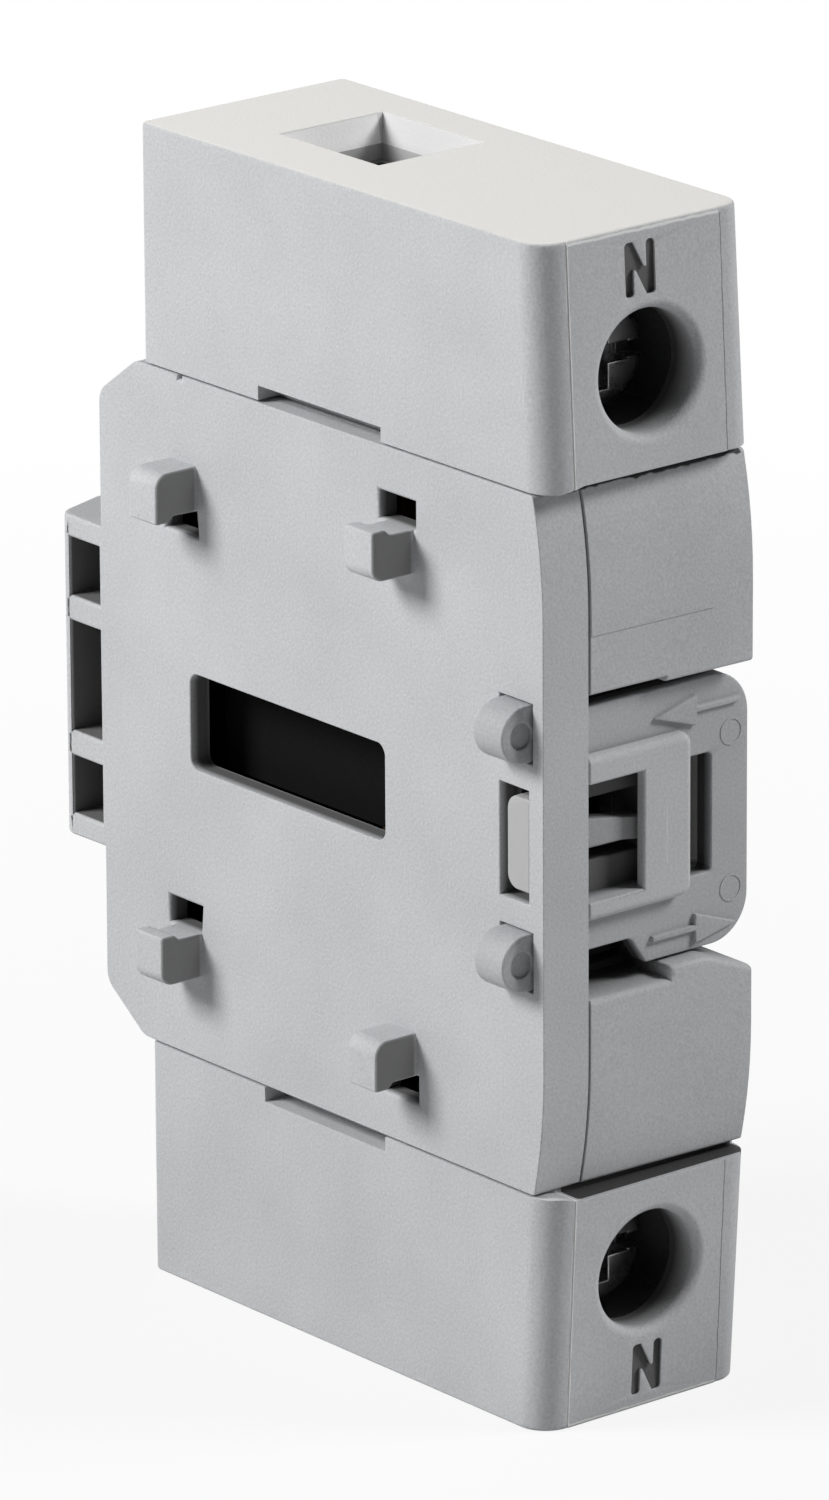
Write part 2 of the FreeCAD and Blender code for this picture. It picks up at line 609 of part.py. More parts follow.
def funnel_tool():
    """The stepped wire entry, cut down through the outer end wall."""
    draft = FUNNEL_DRAFT
    wide = rectangle(FUNNEL_X, FUNNEL_Y, 0)
    x = (FUNNEL_X[0] + draft, FUNNEL_X[1] - draft)
    y = (FUNNEL_Y[0] + draft, FUNNEL_Y[1] - draft)
    narrow = rectangle(x, y, 0)
    mouth = Part.makeLoft([rounded_wire("z", wide, HALF_H), rounded_wire("z", narrow, HALF_H - FUNNEL_DEPTH)],
                          True, True)
    step = box(x, y, (HALF_H - FUNNEL_STEP, HALF_H - FUNNEL_DEPTH))
    x = (x[0] + FUNNEL_LEDGE, x[1] - FUNNEL_LEDGE)
    y = (y[0] + FUNNEL_LEDGE, y[1] - FUNNEL_LEDGE)
    hole = box(x, y, (HALF_H - TERM_END_WALL - OVERCUT, HALF_H - FUNNEL_STEP))
    return [mouth, step, hole]


def front_panel():
    """The faintly raised flat on the front of a terminal housing."""
    inner = rectangle(TERM_PANEL_X, (TERM_FRONT_IN - PANEL_STAND, TERM_FRONT_IN + OVERCUT), 0)
    outer = rectangle(TERM_PANEL_X, (TERM_FRONT_OUT - PANEL_STAND, TERM_FRONT_OUT + OVERCUT), 0)
    return Part.makeLoft([rounded_wire("z", inner, TERM_IN), rounded_wire("z", outer, HALF_H)], True, True)


def with_access_hole(block):
    """The block with the screw's access hole and the hole's rounded rim."""
    bore = Part.makeCylinder(HOLE_R, TERM_FRONT_WALL + 3 * OVERCUT,
                             FreeCAD.Vector(SCREW_X, TERM_FRONT_IN - 2 * OVERCUT, SCREW_Z),
                             FreeCAD.Vector(0, 1, 0))
    holed = cut(block, [bore])
    rim = [edge for edge in holed.Edges
           if edge.BoundBox.YMax < TERM_FRONT_OUT and edge.BoundBox.XMin > SCREW_X - HOLE_R - 0.01
           and edge.BoundBox.XMax < SCREW_X + HOLE_R + 0.01]
    return holed.makeFillet(HOLE_RIM_R, rim)


def terminal_shell():
    """A terminal housing for the upper end, without its mark; its front edge lifts off the body."""
    inner = rounded_wire("z", terminal_corners(TERM_FRONT_IN, MODULE_W), TERM_IN)
    outer = rounded_wire("z", terminal_corners(TERM_FRONT_OUT, TERM_RIGHT_OUT), HALF_H)
    block = fuse([Part.makeLoft([inner, outer], True, True), front_panel()])
    chamber = box((TERM_WALL, MODULE_W - TERM_WALL),
                  (TERM_FRONT_OUT + TERM_FRONT_WALL, TERM_REAR - TERM_WALL), CHAMBER_Z)
    bar_x = (SCREW_X - BAR_HALF_W - BAR_FIT, SCREW_X + BAR_HALF_W + BAR_FIT)
    bar_y = (BAR_FRONT - BAR_FIT, BAR_FRONT + BAR_T + BAR_FIT)
    bar_slot = box(bar_x, bar_y, (TERM_IN - OVERCUT, TERM_IN + TERM_WALL + OVERCUT))
    notch = box((-OVERCUT, TERM_WALL), NOTCH_Y, (TERM_IN - OVERCUT, TERM_IN + NOTCH_H))
    past = MODULE_W + OVERCUT
    lift = prism("y", [(TERM_LIFT_X[0], TERM_IN - OVERCUT, 0), (past, TERM_IN - OVERCUT, 0),
                       (past, TERM_IN + TERM_LIFT, 0), (TERM_LIFT_X[1], TERM_IN + TERM_LIFT, 0),
                       (TERM_LIFT_X[0], TERM_IN, 0)],
                 TERM_FRONT_IN - OVERCUT, TERM_FRONT_IN + TERM_LIFT_IN)
    shell = cut(with_access_hole(block), [chamber, bar_slot, notch, lift] + funnel_tool())
    tab = box(TAB_X, TAB_Y, (BODY_HALF_H - WALL, TERM_IN))
    return fuse([shell, tab])


def neutral_mark(x, end):
    """The letter that marks a neutral terminal, as a tool that cuts it near an outer end."""
    z = end * (HALF_H - MARK_END)
    rise = (TERM_FRONT_OUT - TERM_FRONT_IN) / TERM_H
    front = TERM_FRONT_IN - PANEL_STAND + rise * (TERM_H - MARK_END)
    half_w = MARK_W / 2
    half_h = MARK_H / 2
    inner = half_w - MARK_STROKE
    outer_r, inner_r = MARK_R
    half = [(-half_w, -half_h, outer_r), (-inner, -half_h, outer_r), (-inner, MARK_KNEE, inner_r),
            (inner, -half_h, inner_r), (half_w, -half_h, outer_r)]
    outline = half + [(-a, -b, radius) for a, b, radius in half]
    corners = [(x + a, z + b, radius) for a, b, radius in outline]
    return prism("y", corners, front - OVERCUT, front + MARK_DEPTH)


def make_screw():
    """The upper terminal screw: head with its recesses, shank and tip."""
    axis = FreeCAD.Vector(0, 1, 0)
    rear = HEAD_FRONT + HEAD_T
    tip_end = BAR_FRONT - TIP_GAP
    head = Part.makeCylinder(HEAD_R, HEAD_T, FreeCAD.Vector(SCREW_X, HEAD_FRONT, SCREW_Z), axis)
    rim = [edge for edge in head.Edges if edge.BoundBox.YMax < HEAD_FRONT + 0.01 and edge.Closed]
    head = head.makeFillet(HEAD_EDGE_R, rim)
    shank = Part.makeCylinder(SHANK_R, tip_end - TIP_LEN - rear, FreeCAD.Vector(SCREW_X, rear, SCREW_Z), axis)
    tip = Part.makeCone(SHANK_R, SHANK_R - TIP_TAPER, TIP_LEN,
                        FreeCAD.Vector(SCREW_X, tip_end - TIP_LEN, SCREW_Z), axis)
    half = SLOT_W / 2
    across = HEAD_R + OVERCUT
    slot = box((SCREW_X - across, SCREW_X + across), (HEAD_FRONT - OVERCUT, HEAD_FRONT + SLOT_DEPTH),
               (SCREW_Z - half, SCREW_Z + half))
    arm = CROSS_LEN / 2
    half = CROSS_W / 2
    y = (HEAD_FRONT - OVERCUT, HEAD_FRONT + CROSS_DEPTH)
    level = box((SCREW_X - arm, SCREW_X + arm), y, (SCREW_Z - half, SCREW_Z + half))
    upright = box((SCREW_X - half, SCREW_X + half), y, (SCREW_Z - arm, SCREW_Z + arm))
    return cut(fuse([head, shank, tip]), [slot, level, upright])


def make_cage():
    """The upper clamp cage: a nut plate and a strap round the link bar."""
    half = CAGE_HALF_W
    nut_rear = BAR_FRONT - CAGE_NUT_GAP
    front = nut_rear - CAGE_NUT_T
    rear = CAGE_REAR_IN + CAGE_REAR_T
    x = (SCREW_X - half, SCREW_X + half)
    z = (CHAMBER_Z[0] + CAGE_PLAY, CHAMBER_Z[1] - CAGE_PLAY)
    block = prism("z", rectangle(x, (front, rear), CAGE_R), z[0], z[1])
    inside = box((x[0] + CAGE_SIDE, x[1] - CAGE_SIDE), (nut_rear, CAGE_REAR_IN),
                 (z[0] - OVERCUT, z[1] + OVERCUT))
    thread = Part.makeCylinder(SHANK_R + THREAD_FIT, CAGE_NUT_T + 2 * OVERCUT,
                               FreeCAD.Vector(SCREW_X, front - OVERCUT, SCREW_Z), FreeCAD.Vector(0, 1, 0))
    return cut(block, [inside, thread])


def make_busbar():
    """The flat link bar between the two clamps."""
    x = (SCREW_X - BAR_HALF_W, SCREW_X + BAR_HALF_W)
    return prism("y", rectangle(x, (-BAR_HALF_L, BAR_HALF_L), BAR_R), BAR_FRONT, BAR_FRONT + BAR_T)


def make_cover():
    """The insulating cover: a panel behind the window with two legs round the link bar."""
    panel = box((COVER_X, COVER_X + COVER_T), COVER_Y, (-COVER_HALF, COVER_HALF))
    z = (-COVER_HALF, COVER_HALF)
    x = (COVER_X + COVER_T, COVER_X + COVER_T + COVER_LEG)
    front_leg = box(x, (BAR_FRONT - BAR_FIT - COVER_LEG_T, BAR_FRONT - BAR_FIT), z)
    rear = BAR_FRONT + BAR_T + BAR_FIT
    rear_leg = box(x, (rear, rear + COVER_LEG_T), z)
    return fuse([panel, front_leg, rear_leg])


def main():
    """Build every piece and write each to its own file."""
    os.makedirs("parts", exist_ok=True)
    shell = terminal_shell()
    screw = make_screw()
    cage = make_cage()
    pieces = {
        "main_housing": make_main_housing(),
        "side_plate": make_side_plate(),
        "upper_terminal_housing": cut(shell, [neutral_mark(UPPER_MARK_X, 1)]),
        "lower_terminal_housing": cut(mirrored(shell), [neutral_mark(LOWER_MARK_X, -1)]),
        "locking_slide": make_locking_slide(),
        "retaining_frame": make_retaining_frame(),
        "neutral_busbar": make_busbar(),
        "busbar_cover": make_cover(),
        "upper_clamp_cage": cage,
        "lower_clamp_cage": mirrored(cage),
        "upper_terminal_screw": screw,
        "lower_terminal_screw": mirrored(screw),
    }
    for name, shape in pieces.items():
        box_of = shape.BoundBox
        print(name, "solids", len(shape.Solids), "valid", shape.isValid(),
              "X %.2f %.2f Y %.2f %.2f Z %.2f %.2f" % (box_of.XMin, box_of.XMax, box_of.YMin, box_of.YMax,
                                                      box_of.ZMin, box_of.ZMax))
        shape.exportStep("parts/" + name + ".step")


main()
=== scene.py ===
"""Looks of the neutral terminal block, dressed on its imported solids.

Everything is in metres, in the frame of the solids: X = 0 is the mating face,
-Y is the front with the screws and the slide, and +Z is up.
"""

from __future__ import annotations

import json
import logging
import math
from dataclasses import dataclass, replace
from enum import Enum
from typing import Iterable, NamedTuple, Optional, Sequence, Union

import bmesh
import bpy
import numpy as np
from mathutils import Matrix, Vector

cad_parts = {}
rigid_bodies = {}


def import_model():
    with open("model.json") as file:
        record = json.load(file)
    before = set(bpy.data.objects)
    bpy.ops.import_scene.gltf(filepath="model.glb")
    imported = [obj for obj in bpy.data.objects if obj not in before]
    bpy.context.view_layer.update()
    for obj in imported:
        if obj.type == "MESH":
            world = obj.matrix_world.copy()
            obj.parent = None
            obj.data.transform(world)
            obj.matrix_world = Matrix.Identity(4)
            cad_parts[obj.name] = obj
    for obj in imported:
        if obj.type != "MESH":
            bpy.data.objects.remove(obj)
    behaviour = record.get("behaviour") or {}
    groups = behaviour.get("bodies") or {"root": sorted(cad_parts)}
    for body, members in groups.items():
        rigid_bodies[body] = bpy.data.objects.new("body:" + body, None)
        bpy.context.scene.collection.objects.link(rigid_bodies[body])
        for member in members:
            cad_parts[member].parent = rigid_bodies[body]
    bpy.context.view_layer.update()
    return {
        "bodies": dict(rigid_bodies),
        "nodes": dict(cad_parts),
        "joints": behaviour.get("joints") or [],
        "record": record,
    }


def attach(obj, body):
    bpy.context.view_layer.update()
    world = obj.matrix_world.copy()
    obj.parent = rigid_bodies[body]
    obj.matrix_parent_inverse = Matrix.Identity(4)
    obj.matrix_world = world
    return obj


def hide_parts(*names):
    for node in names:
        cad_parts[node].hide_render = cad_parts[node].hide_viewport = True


LOG = logging.getLogger("terminal_block")

MM = 0.001
# Corners nearer than this, in metres, are one corner.
WELD = 1e-6
# The places of a Mix node's two colour inputs and of its colour output.
MIX_A, MIX_B, MIX_COLOUR = 6, 7, 2
# Where most of a noise's values lie.
NOISE_SPAN = (0.3, 0.7)

Colour = tuple[float, float, float]
Point = tuple[float, float, float]
Span = tuple[float, float]
Number = Union[int, float]


class Body(Enum):
    """The rigid bodies that new pieces ride on."""

    HOUSING = "housing"
    SLIDE = "slide"
    UPPER_SCREW = "upper_screw"
    LOWER_SCREW = "lower_screw"


class Slot(Enum):
    """Names of the record's material slots, passed along with the new pieces."""

    HOUSING = "housing_plastic"
    SLIDE = "slide_plastic"
    SCREW = "screw_steel"


class Wire:
    """A shader socket that turns Python sums into Math nodes."""

    def __init__(self, graph: "Graph", socket: bpy.types.NodeSocket) -> None:
        """Keep the graph and the socket.

        Args:
            graph: The graph the socket belongs to.
            socket: An output socket.
        """
        self.graph = graph
        self.socket = socket

    def _math(
        self, operation: str, first: Union["Wire", Number], second: Union["Wire", Number]
    ) -> "Wire":
        """Add one Math node.

        Args:
            operation: The node's operation.
            first: Its first value.
            second: Its second value.

        Returns:
            The result.
        """
        inputs = {0: first, 1: second}
        return self.graph.node("ShaderNodeMath", {"operation": operation}, inputs)["Value"]

    def __add__(self, other: Union["Wire", Number]) -> "Wire":
        """Sum of the two."""
        return self._math("ADD", self, other)

    def __radd__(self, other: Number) -> "Wire":
        """Sum of the two, the number first."""
        return self._math("ADD", other, self)

    def __sub__(self, other: Union["Wire", Number]) -> "Wire":
        """Difference of the two."""
        return self._math("SUBTRACT", self, other)

    def __rsub__(self, other: Number) -> "Wire":
        """Difference of the two, the number first."""
        return self._math("SUBTRACT", other, self)

    def __mul__(self, other: Union["Wire", Number]) -> "Wire":
        """Product of the two."""
        return self._math("MULTIPLY", self, other)

    def __rmul__(self, other: Number) -> "Wire":
        """Product of the two, the number first."""
        return self._math("MULTIPLY", other, self)

    def larger(self, other: "Wire") -> "Wire":
        """The larger of two values.

        Args:
            other: The other value.

        Returns:
            The larger one.
        """
        return self._math("MAXIMUM", self, other)

    def ramp(
        self, low: float, high: float, to_low: float = 0.0, to_high: float = 1.0
    ) -> "Wire":
        """Map a range onto another, held at its ends.

        Args:
            low: Start of the range.
            high: End of the range.
            to_low: Value at the start.
            to_high: Value at the end.

        Returns:
            The mapped value.
        """
        inputs = {
            "Value": self, "From Min": low, "From Max": high, "To Min": to_low, "To Max": to_high
        }
        return self.graph.node("ShaderNodeMapRange", {"clamp": True}, inputs)["Result"]


class NodeHandle:
    """A shader node whose outputs are read as wires."""

    def __init__(self, graph: "Graph", node: bpy.types.Node) -> None:
        """Keep the graph and the node.

        Args:
            graph: The graph the node is in.
            node: The node.
        """
        self.graph = graph
        self.bl_node = node

    def __getitem__(self, output: Union[str, int]) -> Wire:
        """One of the node's outputs.

        Args:
            output: Its name or number.

        Returns:
            The output as a wire.
        """
        return Wire(self.graph, self.bl_node.outputs[output])


class Graph:
    """The node tree of one new material or world."""

    def __init__(self, owner: Union[bpy.types.Material, bpy.types.World]) -> None:
        """Start with an empty tree.

        Args:
            owner: The new material or world.
        """
        owner.use_nodes = True
        self.owner = owner
        self.tree = owner.node_tree
        self.tree.nodes.clear()

    @classmethod
    def for_material(cls, name: str) -> "Graph":
        """The graph of a new material.

        Args:
            name: The material's name.

        Returns:
            Its empty graph.
        """
        return cls(bpy.data.materials.new(name))

    def node(
        self,
        kind: str,
        settings: Optional[dict[str, object]] = None,
        inputs: Optional[dict[Union[str, int], object]] = None,
    ) -> NodeHandle:
        """Add a node, set it, then fill or link its sockets.

        Args:
            kind: The node's type.
            settings: Its settings.
            inputs: Its sockets' values or wires.

        Returns:
            The node.
        """
        made = self.tree.nodes.new(kind)
        for key, value in (settings or {}).items():
            setattr(made, key, value)
        for key, value in (inputs or {}).items():
            if isinstance(value, Wire):
                self.tree.links.new(value.socket, made.inputs[key])
            else:
                made.inputs[key].default_value = value
        return NodeHandle(self, made)

    def coordinates(self) -> Wire:
        """The coordinates in the object's own frame.

        Returns:
            The coordinates, in metres.
        """
        return self.node("ShaderNodeTexCoord")["Object"]

    def noise(self, grain: float, detail: float = 3.0, place: Optional[Wire] = None) -> Wire:
        """Noise with features of a given size.

        Args:
            grain: The features' size in metres.
            detail: How many finer layers it has.
            place: The coordinates, or None for the object's.

        Returns:
            The noise, about 0.5 on average.
        """
        place = self.coordinates() if place is None else place
        inputs = {"Vector": place, "Scale": 1.0 / grain, "Detail": detail}
        return self.node("ShaderNodeTexNoise", {"noise_dimensions": "3D"}, inputs)["Fac"]

    def mix(self, factor: Wire, first: Union[Wire, Colour], second: Colour) -> Wire:
        """A colour between two.

        Args:
            factor: 0 for the first and 1 for the second.
            first: The first colour, plain or varied.
            second: The second colour.

        Returns:
            The colour.
        """
        under = first if isinstance(first, Wire) else (*first, 1.0)
        inputs = {0: factor, MIX_A: under, MIX_B: (*second, 1.0)}
        return self.node("ShaderNodeMix", {"data_type": "RGBA"}, inputs)[MIX_COLOUR]

    def bump(self, height: Wire, depth: float, strength: float) -> Wire:
        """A normal bent by a height.

        Args:
            height: The height, from 0 to 1.
            depth: What a height of 1 stands for, in metres.
            strength: How much of it is used.

        Returns:
            The normal.
        """
        inputs = {"Height": height, "Distance": depth, "Strength": strength}
        return self.node("ShaderNodeBump", None, inputs)["Normal"]

    def surface(self, inputs: dict[str, object]) -> bpy.types.Material:
        """Close the graph with a principled surface.

        Args:
            inputs: The surface's values and wires.

        Returns:
            The material.
        """
        shader = self.node("ShaderNodeBsdfPrincipled", None, inputs)
        self.node("ShaderNodeOutputMaterial", None, {"Surface": shader["BSDF"]})
        return self.owner


def grey(level: float) -> Colour:
    """A colour without a hue.

    Args:
        level: The value of each channel.

    Returns:
        The colour.
    """
    return (level, level, level)


def scaled(colour: Colour, factor: float) -> Colour:
    """A colour made lighter or darker.

    Args:
        colour: The colour.
        factor: What each channel is multiplied by.

    Returns:
        The new colour.
    """
    return (colour[0] * factor, colour[1] * factor, colour[2] * factor)


@dataclass(frozen=True)
class Patch:
    """A box in millimetres in which a moulding has another colour, mostly painted light or painted
    shade.

    Attributes:
        colour: The colour inside.
        x: The box along X, or None for no limit; y and z alike.
        soft: How far the colour fades in at the box's sides.
        fade: The same along Y, where that differs.
        ragged: How far the sides waver.
        lean: How much the box moves along Y for each millimetre of Z.
        wave: The size of the sides' waves.
    """

    colour: Colour
    x: Optional[Span] = None
    y: Optional[Span] = None
    z: Optional[Span] = None
    soft: float = 0.05
    fade: Optional[float] = None
    ragged: float = 0.0
    lean: float = 0.0
    wave: float = 1.3

    def mirrored(self) -> "Patch":
        """The same patch at the other end of the block.

        Returns:
            The mirrored patch.
        """
        z = None if self.z is None else (-self.z[1], -self.z[0])
        return replace(self, z=z, lean=-self.lean)

    def mask(self, graph: Graph) -> Wire:
        """Where the patch is: 1 inside and 0 outside.

        Args:
            graph: The material's graph.

        Returns:
            The mask.
        """
        place = graph.node("ShaderNodeSeparateXYZ", None, {"Vector": graph.coordinates()})
        inside: Union[Wire, float] = 1.0
        for axis, span in zip("XYZ", (self.x, self.y, self.z)):
            if span is None:
                continue
            along = place[axis]
            soft = (self.fade if axis == "Y" and self.fade is not None else self.soft) * MM
            if axis == "Y" and self.lean:
                along = along - place["Z"] * self.lean
            if self.ragged:
                reach = self.ragged * MM
                along = along + graph.noise(self.wave * MM).ramp(*NOISE_SPAN, -reach, reach)
            low, high = span[0] * MM, span[1] * MM
            inside = inside * along.ramp(low, low + soft) * along.ramp(high - soft, high, 1.0, 0.0)
        return inside


@dataclass(frozen=True)
class MouldedPlastic:
    """Moulded plastic with the fine grain of an eroded mould.

    Attributes:
        name: The material's name.
        colour: Its mean colour.
        roughness: Its mean roughness.
        roughness_change: How far the grain moves the roughness either way.
        grain: The size of the grain in metres.
        grain_depth: Its depth in metres.
        grain_strength: How much of that depth shows.
        speckle: The share by which the grain changes the colour.
        speckle_span: The noise values between which it does.
        cloud_size: The size in metres of the slow changes of tone.
        cloud: The share by which they change the colour.
        gloss: The strength of the plastic's reflection.
        patches: Boxes with a colour of their own, mostly painted light and painted shade, later ones
            over earlier ones.
    """

    name: str
    colour: Colour
    roughness: float = 0.62
    roughness_change: float = 0.06
    grain: float = 0.20 * MM
    grain_depth: float = 0.035 * MM
    grain_strength: float = 0.75
    speckle: float = 0.115
    speckle_span: Span = (0.25, 0.75)
    cloud_size: float = 9.0 * MM
    cloud: float = 0.045
    gloss: float = 0.2
    patches: Sequence[Patch] = ()

    def material(self) -> bpy.types.Material:
        """Build the finish.

        Returns:
            Its material.
        """
        graph = Graph.for_material(self.name)
        grain = graph.noise(self.grain)
        clouds = graph.noise(self.cloud_size)
        speckles = grain.ramp(*self.speckle_span, -self.speckle, self.speckle)
        tone = speckles + clouds.ramp(*NOISE_SPAN, -self.cloud, self.cloud)
        span = self.speckle + self.cloud
        colour = graph.mix(
            tone.ramp(-span, span), scaled(self.colour, 1.0 - span), scaled(self.colour, 1.0 + span)
        )
        for patch in self.patches:
            colour = graph.mix(patch.mask(graph), colour, patch.colour)
        smooth, rough = self.roughness - self.roughness_change, self.roughness + self.roughness_change
        return graph.surface({
            "Base Color": colour,
            "Roughness": grain.ramp(*NOISE_SPAN, smooth, rough),
            "Specular IOR Level": self.gloss,
            "Normal": graph.bump(grain, self.grain_depth, self.grain_strength),
        })


@dataclass(frozen=True)
class DullMetal:
    """Dull metal with drawn lines and darker, rougher blotches.

    Attributes:
        name: The material's name.
        colour: Its colour between the blotches.
        roughness: Its usual roughness.
        rougher: How much rougher the darkest blotches are.
        smoother: How much smoother the brightest places are.
        line: The width of the drawn lines in metres.
        line_detail: How many finer layers the lines have.
        line_depth: Their depth in metres.
        line_strength: How much of that depth shows.
        stretch: What the coordinates are multiplied by for the lines.
        blotch: The size of the blotches in metres.
        blotch_span: The noise values between which they fade.
        blotch_tone: What a blotch's colour is multiplied by.
    """

    name: str
    colour: Colour
    roughness: float = 0.34
    rougher: float = 0.14
    smoother: float = 0.04
    line: float = 0.05 * MM
    line_detail: float = 2.0
    line_depth: float = 0.01 * MM
    line_strength: float = 0.35
    stretch: Point = (1.0, 0.12, 1.0)
    blotch: float = 1.6 * MM
    blotch_span: Span = (0.35, 0.7)
    blotch_tone: float = 0.62

    def material(self) -> bpy.types.Material:
        """Build the finish.

        Returns:
            Its material.
        """
        graph = Graph.for_material(self.name)
        inputs = {"Vector": graph.coordinates(), "Scale": self.stretch}
        place = graph.node("ShaderNodeMapping", {"vector_type": "POINT"}, inputs)["Vector"]
        lines = graph.noise(self.line, self.line_detail, place)
        blotches = graph.noise(self.blotch)
        dark = scaled(self.colour, self.blotch_tone)
        rough, smooth = self.roughness + self.rougher, self.roughness - self.smoother
        return graph.surface({
            "Base Color": graph.mix(blotches.ramp(*self.blotch_span), dark, self.colour),
            "Metallic": 1.0,
            "Roughness": blotches.ramp(*NOISE_SPAN, rough, smooth),
            "Normal": graph.bump(lines, self.line_depth, self.line_strength),
        })


class Bench:
    """Modelling steps, each on the objects it is given."""

    SAME_PLANE = math.radians(0.3)
    ANY_SHAPE = math.radians(180.0)

    @staticmethod
    def select_only(*objects: bpy.types.Object) -> None:
        """Select these and nothing else, with the first one active.

        Args:
            objects: What to select.
        """
        bpy.ops.object.select_all(action="DESELECT")
        for item in objects:
            item.select_set(True)
        bpy.context.view_layer.objects.active = objects[0]

    @staticmethod
    def copy_of(node: bpy.types.Object, name: str) -> bpy.types.Object:
        """A welded copy of a CAD node.

        Args:
            node: The CAD node.
            name: The copy's name.

        Returns:
            The copy.
        """
        piece = bpy.data.objects.new(name, node.data.copy())
        piece.data.name = name
        bpy.context.scene.collection.objects.link(piece)
        piece.data.materials.clear()
        Bench.select_only(piece)
        bpy.ops.mesh.customdata_custom_splitnormals_clear()
        bpy.ops.object.mode_set(mode="EDIT")
        bpy.ops.mesh.select_all(action="SELECT")
        bpy.ops.mesh.remove_doubles(threshold=WELD)
        bpy.ops.mesh.tris_convert_to_quads(
            face_threshold=Bench.SAME_PLANE, shape_threshold=Bench.ANY_SHAPE
        )
        bpy.ops.object.mode_set(mode="OBJECT")
        return piece

    @staticmethod
    def finish_shading(piece: bpy.types.Object, above: float) -> None:
        """Shade a piece smooth, with its flats kept flat.

        Args:
            piece: The piece.
            above: Edges sharper than this many degrees stay sharp.
        """
        Bench.select_only(piece)
        bpy.ops.object.shade_smooth_by_angle(angle=math.radians(above))
        weigh = piece.modifiers.new("flat_faces", "WEIGHTED_NORMAL")
        weigh.keep_sharp = True
        bpy.ops.object.modifier_apply(modifier=weigh.name)

    @staticmethod
    def dress(
        piece: bpy.types.Object,
        material: bpy.types.Material,
        body: Body,
        slot: Slot,
        stands_for: str,
    ) -> None:
        """Give a piece its finish and its place in the assembly.

        Args:
            piece: The piece.
            material: Its finish.
            body: The body it rides on.
            slot: Not used.
            stands_for: The CAD node that it is shown in place of.
        """
        piece.data.materials.clear()
        piece.data.materials.append(material)
        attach(piece, body.value)
        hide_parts(stands_for)
        LOG.info("%s: %d faces on %s", piece.name, len(piece.data.polygons), body.value)


@dataclass(frozen=True)
class Zone:
    """A box in millimetres whose edges are rounded by their own width.

    Attributes:
        width: The width of the edges in the box.
        x: The box along X; y and z alike.
    """

    width: float
    x: Span = (-99.0, 99.0)
    y: Span = (-99.0, 99.0)
    z: Span = (-99.0, 99.0)

    def holds(self, point: Vector) -> bool:
        """Whether a point lies in the box.

        Args:
            point: The point, in metres.

        Returns:
            True inside or on the box.
        """
        spans = (self.x, self.y, self.z)
        return all(low * MM <= value <= high * MM for value, (low, high) in zip(point, spans))


class BorderEdge(NamedTuple):
    """A sharp edge as one side of a patch of faces."""

    edge: bmesh.types.BMEdge
    start: Vector
    middle: Vector
    run: Vector
    inward: Vector


